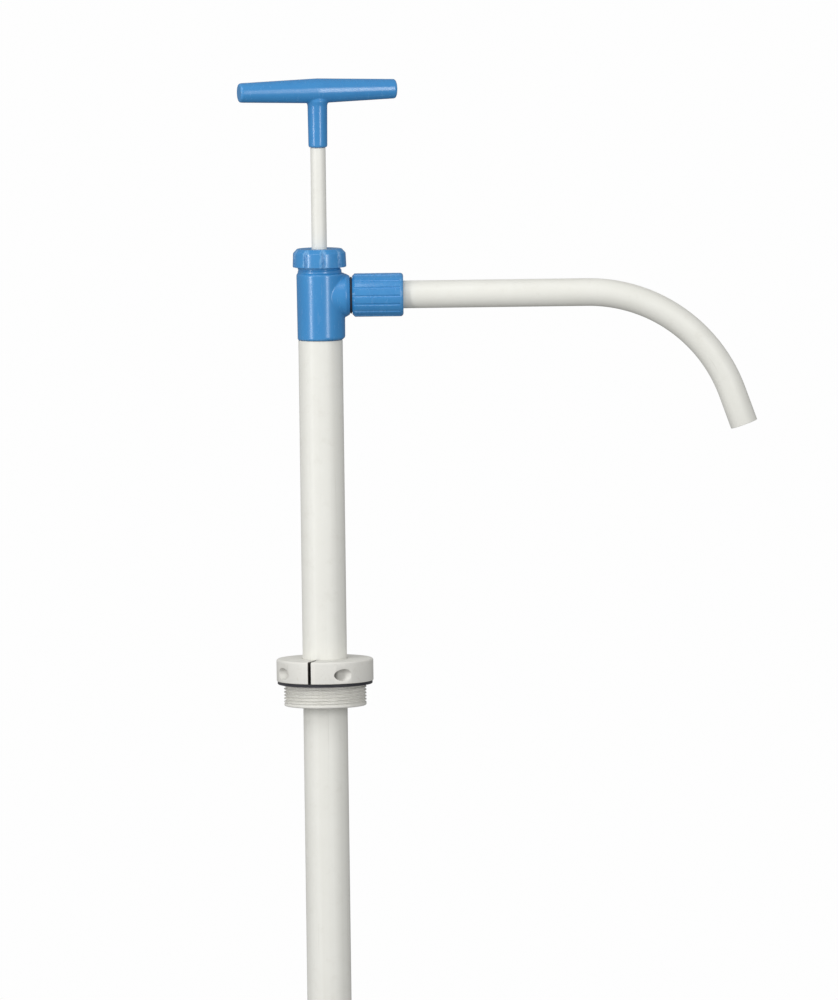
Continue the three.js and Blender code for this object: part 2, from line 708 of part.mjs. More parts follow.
const HUB_FOOT = -PISTON_HUB_HEIGHT;
const PISTON_BALL_REST = HUB_FOOT - GAP - BALL_LIFT - PISTON_BALL_RADIUS;
const SEAT_EDGE = PISTON_BALL_REST - seatLift(PISTON_BALL_RADIUS, PISTON_SEAT_BORE);
const CAGE_FOOT = SEAT_EDGE + PISTON_CHAMBER - PISTON_SEAT_BORE + GAP;
const PISTON_FOOT = SEAT_EDGE - PISTON_SEAT_HEIGHT;
const PISTON_GROOVE_HIGH = SEAT_EDGE - PISTON_GROOVE_START;
const PISTON_GROOVE_LOW = PISTON_GROOVE_HIGH - PISTON_GROOVE_WIDTH;

function pistonCage() {
  const cage = ring([
    [PISTON_CHAMBER, CAGE_FOOT],
    [PISTON_CAGE_RADIUS, CAGE_FOOT],
    [PISTON_CAGE_RADIUS, HUB_FOOT + PISTON_SHOULDER],
    [PISTON_HUB_RADIUS, HUB_FOOT + 2 * PISTON_SHOULDER],
    [PISTON_HUB_RADIUS, 0],
    [ROD_END_RADIUS + GAP, 0],
    [ROD_END_RADIUS + GAP, HUB_FOOT],
    [PISTON_CHAMBER, HUB_FOOT],
  ], MEDIUM);
  const reach = 3 * PISTON_CAGE_RADIUS;
  const middle = HUB_FOOT - PISTON_WINDOW_HEIGHT / 2;
  return cut(
    cage,
    block(reach, PISTON_WINDOW_WIDTH, PISTON_WINDOW_HEIGHT, 0, 0, middle),
    block(PISTON_WINDOW_WIDTH, reach, PISTON_WINDOW_HEIGHT, 0, 0, middle),
  );
}

function pistonSeat() {
  const socketBore = PISTON_CAGE_RADIUS + GAP;
  const socketFloor = CAGE_FOOT - GAP;
  const socketMouth = socketFloor + PISTON_SOCKET_DEPTH;
  return ring([
    [PISTON_SEAT_BORE, PISTON_FOOT],
    [PISTON_SKIRT_RADIUS - PISTON_EDGE, PISTON_FOOT],
    [PISTON_SKIRT_RADIUS, PISTON_FOOT + PISTON_EDGE],
    [PISTON_SKIRT_RADIUS, PISTON_GROOVE_LOW],
    [PISTON_GROOVE_RADIUS, PISTON_GROOVE_LOW],
    [PISTON_GROOVE_RADIUS, PISTON_GROOVE_HIGH],
    [PISTON_SKIRT_RADIUS, PISTON_GROOVE_HIGH],
    [PISTON_SKIRT_RADIUS, socketMouth],
    [socketBore, socketMouth],
    [socketBore, socketFloor],
    [PISTON_CHAMBER, socketFloor],
    [PISTON_SEAT_BORE, SEAT_EDGE],
  ], MEDIUM);
}

function pistonSeal() {
  return washerRing(
    PISTON_GROOVE_RADIUS + GAP,
    TUBE_BORE - GAP,
    PISTON_GROOVE_LOW + GAP,
    PISTON_GROOVE_HIGH - GAP,
    MEDIUM,
  );
}

// ---------- Assembly ----------

const clampPieces = groupAt(
  0, -SCREW_OFFSET, SCREW_HEIGHT,
  piece('clamp_screw', clampScrew(), STEEL),
  piece('clamp_washer', clampWasher(), STEEL),
  piece('clamp_nut', clampNut(), STEEL),
);
clampPieces.rotation.y = Math.PI / 2;

const collar = groupAt(
  0, 0, 0,
  piece('drum_collar', drumCollar(), CREAM),
  piece('collar_gasket', collarGasket(), BLACK),
  clampPieces,
);
collar.rotation.z = SLOT_TURN;

const foot = groupAt(
  0, 0, TUBE_END,
  piece('foot_valve_seat', footValveSeat(), CREAM),
  piece('foot_ball', ball(FOOT_BALL_RADIUS, FOOT_BALL_REST), WHITE),
  piece('foot_stop_pin', footStopPin(), STEEL),
  piece('foot_strainer', footStrainer(), CREAM),
);

const head = groupAt(
  0, 0, HEAD_BOTTOM,
  piece('pump_head', pumpHead(), BLUE),
  piece('tube_seal_ring', tubeSealRing(), BLACK),
);

const gland = groupAt(
  0, 0, 0,
  piece('rod_guide_bush', glandRing(BUSH_BOTTOM, BUSH_HEIGHT), WHITE),
  piece('lower_rod_seal', glandRing(LOWER_SEAL_BOTTOM, ROD_SEAL_HEIGHT), BLACK),
  piece('upper_rod_seal', glandRing(UPPER_SEAL_BOTTOM, ROD_SEAL_HEIGHT), BLACK),
  piece('gland_follower', glandFollower(), WHITE),
  piece('gland_cap', glandCap(), BLUE),
);

const outlet = groupAt(
  0, 0, HEAD_BOTTOM + OUTLET_HEIGHT,
  piece('thread_root_ring', threadRootRing(), BLACK),
  piece('spout_seal', spoutSeal(), BLACK),
  piece('grip_ring', gripRing(), WHITE),
  piece('union_nut', unionNut(), BLUE),
  piece('spout', spout(), CREAM),
);
outlet.rotation.y = Math.PI / 2;

const rodAndHandle = groupAt(
  0, 0, 0,
  piece('piston_rod', pistonRod(), CREAM),
  piece('t_handle', handle(), BLUE),
);
rodAndHandle.rotation.z = HANDLE_TURN;

const piston = groupAt(
  0, 0, PISTON_TOP,
  piece('piston_cage', pistonCage(), WHITE),
  piece('piston_ball', ball(PISTON_BALL_RADIUS, PISTON_BALL_REST), WHITE),
  piece('piston_seat', pistonSeat(), WHITE),
  piece('piston_seal', pistonSeal(), BLACK),
);

const pump = groupAt(
  0, 0, 0,
  collar,
  piece('immersion_tube', immersionTube(), CREAM),
  foot,
  head,
  gland,
  outlet,
  rodAndHandle,
  piston,
);

export default pump;
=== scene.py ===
"""Looks of a lift-action drum pump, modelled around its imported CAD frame.

Metres, +Z up. Fine lengths are written in millimetres times MM.
"""

import math

import bpy
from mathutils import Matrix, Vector


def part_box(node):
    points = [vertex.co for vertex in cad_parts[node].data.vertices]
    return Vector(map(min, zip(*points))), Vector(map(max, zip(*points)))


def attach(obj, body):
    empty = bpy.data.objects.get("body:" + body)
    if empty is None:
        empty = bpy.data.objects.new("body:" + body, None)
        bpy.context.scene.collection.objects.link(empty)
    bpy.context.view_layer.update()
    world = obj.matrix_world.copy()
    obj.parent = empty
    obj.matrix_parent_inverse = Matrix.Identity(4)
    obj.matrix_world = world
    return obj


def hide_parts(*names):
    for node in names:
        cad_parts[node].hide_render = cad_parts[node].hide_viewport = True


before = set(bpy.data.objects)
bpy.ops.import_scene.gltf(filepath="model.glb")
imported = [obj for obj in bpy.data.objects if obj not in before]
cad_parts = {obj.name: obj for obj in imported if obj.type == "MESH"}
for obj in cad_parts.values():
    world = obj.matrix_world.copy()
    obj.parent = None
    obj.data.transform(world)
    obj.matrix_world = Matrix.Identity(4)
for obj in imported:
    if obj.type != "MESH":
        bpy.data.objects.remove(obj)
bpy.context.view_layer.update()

MM = 0.001


# ---------------------------------------------------------------- camera

CAMERA_DISTANCE = 12.0
CAMERA_ELEVATION = math.radians(4.7)
CAMERA_ROLL = math.radians(0.7508)
CAMERA_LENS = 598.06
CAMERA_SENSOR = 36.0
CAMERA_FAR_END = 100
LOOK_AT = Vector((69.56 * MM, 0, 129.82 * MM))


def make_camera():
    """A far camera on the side of -Y, a little above level and rolled."""
    back = Vector((0, -math.cos(CAMERA_ELEVATION), math.sin(CAMERA_ELEVATION)))
    data = bpy.data.cameras.new("camera")
    data.lens = CAMERA_LENS
    data.sensor_width = CAMERA_SENSOR
    data.clip_end = CAMERA_FAR_END
    camera = bpy.data.objects.new("camera", data)
    bpy.context.scene.collection.objects.link(camera)
    camera.location = LOOK_AT + back * CAMERA_DISTANCE
    facing = back.to_track_quat("Z", "Y")
    camera.rotation_euler = facing.to_euler()
    camera.rotation_euler.rotate_axis("Z", -CAMERA_ROLL)
    bpy.context.scene.camera = camera


# ---------------------------------------------------------------- places from the frame


def low(node):
    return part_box(node)[0]


def high(node):
    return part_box(node)[1]


GAP = 0.3 * MM
TUBE_RADIUS = high("immersion_tube").x
TUBE_BORE = 13.5 * MM
HEAD_BOTTOM = high("immersion_tube").z + GAP
OUTLET_AXIS = (low("union_nut").z + high("union_nut").z) / 2
SPOUT_BORE = 8 * MM
SPOUT_RADIUS = high("spout").y
ROD_RADIUS = high("piston_rod").y
SLOT_TURN = math.radians(-18.6)
SLOT_WIDTH = 2.2 * MM
SCREW_OFFSET = 26 * MM
SCREW_HEIGHT = 6.4 * MM
SCREW_HOLE = 2.3 * MM
RECESS_RADIUS = 4.4 * MM
RECESS_FLOOR = 9 * MM
HANDLE_TURN = math.radians(14.5)
OUTLET_THREAD_RADIUS = 12.3 * MM
NECK_RADIUS = 15.8 * MM
HEAD_THREAD_PITCH = 3 * MM


# ---------------------------------------------------------------- shader writing

# Pointiness is 0.5 on a flat face and more on an outer edge.
EDGE_START, EDGE_FULL = 0.507, 0.55

# A Mix node has sockets of the same name for each kind of value. These are the ones for colours.
MIX_FACTOR, MIX_FIRST, MIX_SECOND, MIX_RESULT = 0, 6, 7, 2


class Wire:
    """An output socket. Arithmetic on wires adds Math nodes."""

    def __init__(self, finish, socket):
        self.finish = finish
        self.socket = socket

    def math(self, operation, *values):
        return self.finish.node("ShaderNodeMath", {"operation": operation}, dict(enumerate(values)))

    def __add__(self, other):
        return self.math("ADD", self, other)

    def __radd__(self, other):
        return self.math("ADD", other, self)

    def __sub__(self, other):
        return self.math("SUBTRACT", self, other)

    def __rsub__(self, other):
        return self.math("SUBTRACT", other, self)

    def __mul__(self, other):
        return self.math("MULTIPLY", self, other)

    def absolute(self):
        return self.math("ABSOLUTE", self)

    def root(self):
        return self.math("SQRT", self)


class Finish:
    """A procedural material with one Principled shader, read in the object's own coordinates."""

    def __init__(self, name, **constants):
        self.material = bpy.data.materials.new(name)
        self.material.use_nodes = True
        self.tree = self.material.node_tree
        self.tree.nodes.clear()
        self.shader = self.tree.nodes.new("ShaderNodeBsdfPrincipled")
        output = self.tree.nodes.new("ShaderNodeOutputMaterial")
        self.tree.links.new(self.shader.outputs[0], output.inputs[0])
        for socket, value in constants.items():
            self.shader.inputs[socket.replace("_", " ")].default_value = value
        self.place = self.node("ShaderNodeTexCoord", output="Object")

    def node(self, kind, settings=None, sockets=None, output=0):
        made = self.tree.nodes.new(kind)
        for name, value in (settings or {}).items():
            setattr(made, name, value)
        for name, value in (sockets or {}).items():
            self.feed(made.inputs[name], value)
        return Wire(self, made.outputs[output])

    def feed(self, socket, value):
        if isinstance(value, Wire):
            self.tree.links.new(value.socket, socket)
        else:
            socket.default_value = value

    def noise(self, size, detail=2.0, roughness=0.5, place=None):
        """Noise from 0 to 1 whose features are about this many metres across."""
        return self.node("ShaderNodeTexNoise", {}, {
            "Vector": place or self.place,
            "Scale": 1 / size,
            "Detail": detail,
            "Roughness": roughness,
        })

    def stretched(self, x, y, z):
        """The coordinates with each axis scaled, for grain that runs along a piece."""
        return self.node("ShaderNodeMapping", {}, {"Vector": self.place, "Scale": (x, y, z)})

    def ramp(self, factor, low, high):
        """0 below low, 1 above high."""
        settings = {"clamp": True, "interpolation_type": "SMOOTHSTEP"}
        sockets = {"Value": factor, "From Min": low, "From Max": high}
        return self.node("ShaderNodeMapRange", settings, sockets)

    def blend(self, factor, first, second):
        """The first colour where the factor is 0, the second where it is 1."""
        sockets = {MIX_FACTOR: factor, MIX_FIRST: first, MIX_SECOND: second}
        return self.node("ShaderNodeMix", {"data_type": "RGBA"}, sockets, MIX_RESULT)

    def axis(self, name):
        """One coordinate of the point, in metres."""
        return self.node("ShaderNodeSeparateXYZ", {}, {"Vector": self.place}, name)

    def edges(self):
        """1 on the outer edges of a finely meshed piece, 0 on its faces."""
        return self.ramp(self.node("ShaderNodeNewGeometry", output="Pointiness"), EDGE_START, EDGE_FULL)

    def relief(self, height, depth):
        """Bump of this depth in metres."""
        sockets = {"Height": height, "Distance": depth, "Strength": 1.0}
        self.feed(self.shader.inputs["Normal"], self.node("ShaderNodeBump", {}, sockets))

    def surface(self, colour, roughness):
        self.feed(self.shader.inputs["Base Color"], colour)
        self.feed(self.shader.inputs["Roughness"], roughness)


def rgb(red, green, blue):
    """A screen colour of 0 to 255 as a linear colour."""

    def linear(value):
        value /= 255
        return value / 12.92 if value <= 0.04045 else ((value + 0.055) / 1.055) ** 2.4

    return (linear(red), linear(green), linear(blue), 1.0)


# ---------------------------------------------------------------- finishes


def moulded_blue():
    """Satin injection-moulded polypropylene: faint flow marks, fine skin, paler rubbed edges."""
    finish = Finish("moulded_blue", IOR=1.49, Specular_IOR_Level=0.68)
    flow = finish.noise(14 * MM, 3, 0.55, finish.stretched(1, 1, 0.45))
    swirl = finish.noise(4 * MM, 4, 0.6, finish.stretched(1, 1, 0.3))
    skin = finish.noise(0.6 * MM, 2, 0.6)
    speck = finish.ramp(finish.noise(1.1 * MM, 1), 0.66, 0.78)
    rub = finish.edges() * finish.ramp(finish.noise(2.5 * MM, 3, 0.7), 0.32, 0.62)
    scuff = finish.ramp(finish.noise(3 * MM, 4, 0.65, finish.stretched(1, 1, 0.2)), 0.55, 0.8)
    colour = finish.blend(flow * 0.7 + swirl * 0.3, rgb(43, 123, 187), rgb(62, 146, 205))
    colour = finish.blend(rub * 0.55, colour, rgb(132, 182, 224))
    colour = finish.blend(speck * 0.10, colour, rgb(150, 190, 225))
    colour = finish.blend(scuff * 0.10, colour, rgb(140, 180, 215))
    finish.surface(colour, 0.21 + skin * 0.08 + scuff * 0.14)
    finish.relief(skin * 0.4 + flow + scuff * 0.2, 0.06 * MM)
    return finish.material


def moulded_cream():
    """Off-white moulded polypropylene of the collar, a little dusty, with painted shade in its slot and
    recesses.
    """
    finish = Finish("moulded_cream", IOR=1.49)
    cloud = finish.noise(11 * MM, 3, 0.6)
    skin = finish.noise(0.6 * MM, 2, 0.6)
    dust = finish.ramp(finish.noise(2.6 * MM, 5, 0.7), 0.52, 0.76)
    colour = finish.blend(cloud, rgb(216, 215, 208), rgb(224, 223, 217))
    colour = finish.blend(dust * 0.34, colour, rgb(188, 182, 168))
    colour = finish.blend(finish.edges() * 0.4, colour, rgb(232, 229, 222))
    # Painted shade: the slot's walls and the two recesses are darkened where shade falls in them.
    colour = finish.blend(painted_slot_shade(finish) * 0.94, colour, rgb(52, 48, 42))
    finish.surface(colour, 0.46 + skin * 0.08 + dust * 0.1)
    finish.relief(skin * 0.5 + cloud, 0.04 * MM)
    return finish.material


def painted_slot_shade(finish):
    """Painted shade on the walls of the collar's slot and deep in its two recesses, darker under each
    recess's upper rim: 1 there, 0 elsewhere.
    """
    x, y, z = (finish.axis(name) for name in "XYZ")
    across = x * math.cos(SLOT_TURN) + y * math.sin(SLOT_TURN)
    beside = across.absolute()
    ahead = y * math.cos(SLOT_TURN) - x * math.sin(SLOT_TURN)
    in_slot = 1 - finish.ramp(beside, SLOT_WIDTH / 2 + 0.05 * MM, SLOT_WIDTH / 2 + 0.2 * MM)
    in_flange = (1 - finish.ramp(ahead, -0.5 * MM, 0.5 * MM)) * finish.ramp(z, -0.1 * MM, 0.1 * MM)
    rise, depth = z - SCREW_HEIGHT, ahead + SCREW_OFFSET
    from_screw = (rise * rise + depth * depth).root()
    in_recess = 1 - finish.ramp(from_screw, RECESS_RADIUS + 0.05 * MM, RECESS_RADIUS + 0.2 * MM)
    deep = 1 - finish.ramp(beside, 15 * MM, 18 * MM)
    # Painted shadow under the upper rim of each recess.
    under_rim = finish.ramp(rise, 0.5 * MM, 3.5 * MM)
    return in_slot * in_flange + in_recess * (1 - in_slot) * (deep * 0.7 + under_rim * 0.25)


def extruded(name, stretch, pale, dark):
    """Extruded pipe: fine die lines along it, slow clouding, satin skin."""
    finish = Finish(name, IOR=1.49, Specular_IOR_Level=0.34)
    along = finish.stretched(*stretch)
    lines = finish.noise(0.5 * MM, 3, 0.6, along)
    broad = finish.noise(3.5 * MM, 2, 0.5, along)
    cloud = finish.noise(24 * MM, 3, 0.6)
    scratch = finish.ramp(finish.noise(1.3 * MM, 2, 0.5, along), 0.7, 0.82)
    smudge = finish.ramp(finish.noise(9 * MM, 4, 0.7), 0.52, 0.78)
    colour = finish.blend(cloud * 0.5 + broad * 0.5, dark, pale)
    colour = finish.blend(scratch * 0.28, colour, rgb(178, 175, 165))
    colour = finish.blend(smudge * 0.16, colour, rgb(196, 192, 180))
    finish.surface(colour, 0.36 + lines * 0.12 + scratch * 0.12 + smudge * 0.08)
    finish.relief(lines * 0.5 + broad, 0.035 * MM)
    return finish.material


def fine_white():
    """White moulded plastic of the inner pieces."""
    finish = Finish("fine_white", IOR=1.5)
    cloud = finish.noise(6 * MM, 3, 0.6)
    skin = finish.noise(0.5 * MM, 2, 0.6)
    colour = finish.blend(cloud, rgb(236, 235, 229), rgb(246, 245, 241))
    finish.surface(colour, 0.36 + skin * 0.1)
    finish.relief(skin, 0.02 * MM)
    return finish.material


def black_rubber():
    """Moulded elastomer with a matt, slightly bloomed skin."""
    finish = Finish("black_rubber", IOR=1.52, Sheen_Weight=0.15)
    bloom = finish.ramp(finish.noise(4 * MM, 4, 0.7), 0.45, 0.8)
    skin = finish.noise(0.4 * MM, 3, 0.65)
    colour = finish.blend(bloom * 0.5, rgb(28, 28, 36), rgb(58, 58, 66))
    finish.surface(colour, 0.55 + skin * 0.15 + bloom * 0.1)
    finish.relief(skin, 0.03 * MM)
    return finish.material


def turned_steel():
    """Stainless steel with tool rings and small stains."""
    finish = Finish("turned_steel", Metallic=1.0)
    rings = finish.noise(0.25 * MM, 2, 0.6)
    stain = finish.ramp(finish.noise(2.2 * MM, 4, 0.7), 0.5, 0.8)
    colour = finish.blend(stain * 0.6, rgb(205, 206, 208), rgb(150, 146, 140))
    finish.surface(colour, 0.24 + rings * 0.14 + stain * 0.18)
    finish.relief(rings, 0.015 * MM)
    return finish.material


BLUE = moulded_blue()
CREAM = moulded_cream()
PIPE = extruded("extruded_tube", (1, 1, 0.012), rgb(235, 235, 229), rgb(222, 221, 213))
SPOUT_PIPE = extruded("extruded_spout", (0.03, 1, 0.03), rgb(235, 235, 229), rgb(220, 219, 210))
WHITE = fine_white()
RUBBER = black_rubber()
STEEL = turned_steel()


# ---------------------------------------------------------------- modelling

# Segments round a turned piece, and steps round a corner of its profile
FINE = 128
MEDIUM = 72
COARSE = 40
ROUND_STEPS = 5

# How close vertices are merged, and how close to a surface they count as lying on it
SAME_PLACE = 0.001 * MM
NEAR_SURFACE = 0.05 * MM
NEAR_CREST = 0.3 * MM

# A thread's crest and each of its flanks, as parts of the pitch
CREST = 0.2
FLANK = 0.25


def deselect():
    if bpy.context.mode != "OBJECT":
        bpy.ops.object.mode_set(mode="OBJECT")
    bpy.ops.object.select_all(action="DESELECT")


def pick(piece):
    deselect()
    piece.select_set(True)
    bpy.context.view_layer.objects.active = piece


def outline(*corners):
    """Profile points. A corner's third value is the radius that rounds it off."""
    points = []
    for i, (radius, height, *rounding) in enumerate(corners):
        here = Vector((radius, height))
        if not rounding:
            points.append(here)
            continue
        before = (Vector(corners[i - 1][:2]) - here).normalized()
        after = (Vector(corners[(i + 1) % len(corners)][:2]) - here).normalized()
        half = before.angle(after) / 2
        centre = here + (before + after).normalized() * rounding[0] / math.sin(half)
        reach = rounding[0] / math.tan(half)
        start = here + before * reach - centre
        end = here + after * reach - centre
        steps = (k / ROUND_STEPS for k in range(ROUND_STEPS + 1))
        points += [centre + start.slerp(end, step) * rounding[0] for step in steps]
    return points


def turned(name, profile, segments=FINE, closed=True):
    """A profile turned round Z: a ring, or a solid whose two ends are closed by flat faces."""
    deselect()
    first = profile[0]
    bpy.ops.mesh.primitive_circle_add(vertices=segments, radius=first.x, location=(0, 0, first.y))
    piece = bpy.context.object
    piece.name = name
    piece.data.name = name
    settle(piece)
    bpy.ops.object.mode_set(mode="EDIT")
    bpy.ops.mesh.select_all(action="SELECT")
    for last, point in zip(profile, profile[1:]):
        bpy.ops.mesh.extrude_region_move(TRANSFORM_OT_translate={"value": (0, 0, point.y - last.y)})
        growth = point.x / last.x
        bpy.ops.transform.resize(value=(growth, growth, 1), center_override=(0, 0, 0))
    bpy.ops.mesh.select_all(action="DESELECT")
    bpy.ops.mesh.select_mode(type="EDGE")
    bpy.ops.mesh.select_non_manifold()
    if closed:
        bpy.ops.mesh.bridge_edge_loops()
    else:
        bpy.ops.mesh.fill_holes(sides=0)
    face_outwards(piece)
    return piece


def face_outwards(piece):
    pick(piece)
    bpy.ops.object.mode_set(mode="EDIT")
    bpy.ops.mesh.select_all(action="SELECT")
    bpy.ops.mesh.remove_doubles(threshold=SAME_PLACE)
    bpy.ops.mesh.normals_make_consistent(inside=False)
    bpy.ops.object.mode_set(mode="OBJECT")


def settle(piece):
    """Puts the piece's place into its mesh."""
    pick(piece)
    bpy.ops.object.transform_apply(location=True, rotation=True, scale=True)


def lay_along_x(piece, height):
    """Turns a piece made along Z to lie along X at the outlet's height."""
    piece.rotation_euler = (0, math.pi / 2, 0)
    piece.location = (0, 0, height)
    settle(piece)
    return piece


def modify(piece, kind, **settings):
    """Adds a modifier and applies it."""
    pick(piece)
    modifier = piece.modifiers.new(kind.lower(), kind)
    for name, value in settings.items():
        setattr(modifier, name, value)
    bpy.ops.object.modifier_apply(modifier=modifier.name)


def merge_shapes(piece, operation, *tools):
    """Joins, cuts or crosses the piece with closed shapes, which are used up."""
    for tool in tools:
        modify(piece, "BOOLEAN", operation=operation, object=tool, solver="EXACT")
        bpy.data.objects.remove(tool)
    return piece


def soften(piece, width, angle=35, segments=3):
    """Rounds the edges that turn by more than the angle, in degrees."""
    modify(
        piece, "BEVEL", width=width, segments=segments, limit_method="ANGLE",
        angle_limit=math.radians(angle), harden_normals=False,
    )


def shade(piece, angle):
    """Smooth shading, broken where faces meet at more than the angle, in degrees."""
    pick(piece)
    bpy.ops.object.shade_smooth_by_angle(angle=math.radians(angle))


def cylinder(radius, start, end, axis="Z", centre=(0, 0, 0), segments=MEDIUM):
    """A plain round shape along Z or X, used to join or cut."""
    deselect()
    turn = {"Z": (0, 0, 0), "X": (0, math.pi / 2, 0)}[axis]
    bpy.ops.mesh.primitive_cylinder_add(
        vertices=segments, radius=radius, depth=end - start, rotation=turn)
    shape = bpy.context.object
    middle = Vector(centre)
    middle["XYZ".index(axis)] += (start + end) / 2
    shape.location = middle
    settle(shape)
    return shape


def block(size, centre, turn=0.0):
    """A plain box used to cut, turned round the world's Z once it is in place."""
    deselect()
    bpy.ops.mesh.primitive_cube_add(size=1)
    shape = bpy.context.object
    shape.scale = size
    shape.location = centre
    settle(shape)
    shape.rotation_euler = (0, 0, turn)
    settle(shape)
    return shape


def divide_rows(piece, radius, low, high, rows):
    """Cuts the tall faces of a plain cylinder of that radius into rows, ready for a thread.

    Faces shorter than 0.4 of the height from low to high, such as its rounded ends, are left alone.
    """
    pick(piece)
    bpy.ops.object.mode_set(mode="EDIT")
    bpy.ops.mesh.select_mode(type="EDGE")
    bpy.ops.mesh.select_all(action="DESELECT")
    bpy.ops.object.mode_set(mode="OBJECT")
    places = [vertex.co for vertex in piece.data.vertices]
    for edge in piece.data.edges:
        a, b = (places[i] for i in edge.vertices)
        tall = abs(a.z - b.z) >= 0.4 * (high - low)
        edge.select = tall and all(abs(p.xy.length - radius) < NEAR_SURFACE for p in (a, b))
    bpy.ops.object.mode_set(mode="EDIT")
    bpy.ops.mesh.subdivide(number_cuts=rows)
    bpy.ops.object.mode_set(mode="OBJECT")


def cut_thread(piece, crest, depth, pitch, low, high, axis="Z", height=0.0):
    """Sinks a trapezoid thread into a cylinder about Z, or about a line along X at a height.

    The depth fades out over one pitch at either end.
    """
    for vertex in piece.data.vertices:
        if axis == "Z":
            across, along = Vector((vertex.co.x, vertex.co.y)), vertex.co.z
        else:
            across, along = Vector((vertex.co.y, vertex.co.z - height)), vertex.co.x
        if along < low or along > high or abs(across.length - crest) > NEAR_CREST:
            continue
        phase = (along / pitch - math.atan2(across.y, across.x) / math.tau) % 1
        groove = min(max((1 - CREST - abs(2 * phase - 1)) / (2 * FLANK), 0), 1)
        fade = min((along - low) / pitch, (high - along) / pitch, 1)
        sunk = across.normalized() * (crest - depth * groove * fade)
        if axis == "Z":
            vertex.co.x, vertex.co.y = sunk
        else:
            vertex.co.y, vertex.co.z = sunk.x, sunk.y + height


def mould(piece, voxel, rounds):
    """Melts joined shapes into one skin with small fillets, smoothed a number of rounds."""
    modify(piece, "REMESH", mode="VOXEL", voxel_size=voxel)
    modify(piece, "SMOOTH", factor=0.5, iterations=rounds)


def finished(piece, body, slot, material, *nodes, angle=32):
    """The piece takes its finish, rides on its body and stands for its CAD nodes."""
    shade(piece, angle)
    piece.data.materials.clear()
    piece.data.materials.append(material)
    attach(piece, body)
    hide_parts(*nodes)
    return piece


# ---------------------------------------------------------------- drum collar

BUNG_THREAD_PITCH = 25.4 / 11 * MM
BUNG_THREAD_ROWS = 110


def drum_collar():
    flange_radius = 35 * MM
    top = high("drum_collar").z
    skirt_foot = low("drum_collar").z
    thread_radius = 29.8 * MM
    skirt_bore = thread_radius - 4.5 * MM
    hub_radius = 20.5 * MM
    hub_foot = -12 * MM
    bore = TUBE_RADIUS + GAP
    collar = turned("drum_collar_moulding", outline(
        (bore, hub_foot, 0.4 * MM),
        (hub_radius, hub_foot, 0.6 * MM),
        (hub_radius, 0, 1.0 * MM),
        (skirt_bore, 0, 1.0 * MM),
        (skirt_bore, skirt_foot, 0.5 * MM),
        (thread_radius, skirt_foot, 1.0 * MM),
        (thread_radius, 0),
        (flange_radius, 0, 0.5 * MM),
        (flange_radius, top, 1.5 * MM),
        (bore, top, 0.7 * MM),
    ))
    reach = flange_radius + MM
    slot_top = top + MM
    line = (0, -SCREW_OFFSET, SCREW_HEIGHT)
    slot_foot = -0.05 * MM
    slot = block((SLOT_WIDTH, reach, slot_top), (0, -reach / 2, slot_top / 2 + slot_foot))
    hub_slot = block(
        (SLOT_WIDTH, skirt_bore - GAP, MM - hub_foot), (0, -skirt_bore / 2, hub_foot / 2))
    tools = [
        slot,
        hub_slot,
        cylinder(SCREW_HOLE, -reach, reach, "X", line, COARSE),
        cylinder(RECESS_RADIUS, RECESS_FLOOR, reach, "X", line),
        cylinder(RECESS_RADIUS, -reach, -RECESS_FLOOR, "X", line),
    ]
    for tool in tools:
        tool.rotation_euler = (0, 0, SLOT_TURN)
        settle(tool)
    merge_shapes(collar, "DIFFERENCE", *tools)
    soften(collar, 0.35 * MM, angle=50, segments=2)
    divide_rows(collar, thread_radius, skirt_foot, 0, BUNG_THREAD_ROWS)
    thread_depth, thread_top = 1.4 * MM, -1.2 * MM
    cut_thread(collar, thread_radius, thread_depth, BUNG_THREAD_PITCH, skirt_foot + MM, thread_top)
    finished(collar, "drum_collar", "cream_plastic", CREAM, "drum_collar", angle=35)


def collar_gasket():
    corner = 0.5 * MM
    foot, top = low("collar_gasket").z, high("collar_gasket").z
    inner, outer = 30.1 * MM, high("collar_gasket").x
    gasket = turned("collar_gasket_ring", outline(
        (inner, foot, corner), (outer, foot, corner), (outer, top, corner), (inner, top, corner)))
    finished(gasket, "drum_collar", "black_rubber", RUBBER, "collar_gasket")


def along_clamp(piece):
    """Lays a clamp piece, made along Z from the middle of the slot, on the clamp screw's line."""
    across, ahead = SCREW_OFFSET * math.sin(SLOT_TURN), -SCREW_OFFSET * math.cos(SLOT_TURN)
    piece.rotation_euler = (0, math.pi / 2, SLOT_TURN)
    piece.location = (across, ahead, SCREW_HEIGHT)
    settle(piece)
    return piece


def clamp_screw():
    """An M4 socket head screw."""
    shank = 2 * MM
    tip, point = -15 * MM, 0.6 * MM
    head_start = 10.6 * MM
    head_end = head_start + 4 * MM
    head = 3.5 * MM
    screw = turned("clamp_screw_turned", outline(
        (shank - point, tip),
        (shank, tip + point),
        (shank, head_start),
        (head, head_start, 0.2 * MM),
        (head, head_end, 0.7 * MM),
        (shank, head_end),
    ), COARSE, closed=False)
    key_corner, key_depth = 1.73 * MM, 2.2 * MM
    key = cylinder(key_corner, head_end - key_depth, head_end + MM, segments=6)
    merge_shapes(screw, "DIFFERENCE", key)
    soften(screw, 0.12 * MM, angle=50, segments=2)
    thread_depth, pitch, rows = 0.4 * MM, 0.7 * MM, 150
    divide_rows(screw, shank, tip, head_start, rows)
    cut_thread(screw, shank, thread_depth, pitch, tip + point, head_start - MM)
    finished(along_clamp(screw), "clamp_screw", "stainless_steel", STEEL, "clamp_screw")


def clamp_washer():
    start = 9.3 * MM
    end = start + MM
    inner, outer, corner = SCREW_HOLE, 4 * MM, 0.25 * MM
    washer = turned("clamp_washer_pressed", outline(
        (inner, start, corner), (outer, start, corner),
        (outer, end, corner), (inner, end, corner)), MEDIUM)
    finished(along_clamp(washer), "drum_collar", "stainless_steel", STEEL, "clamp_washer")


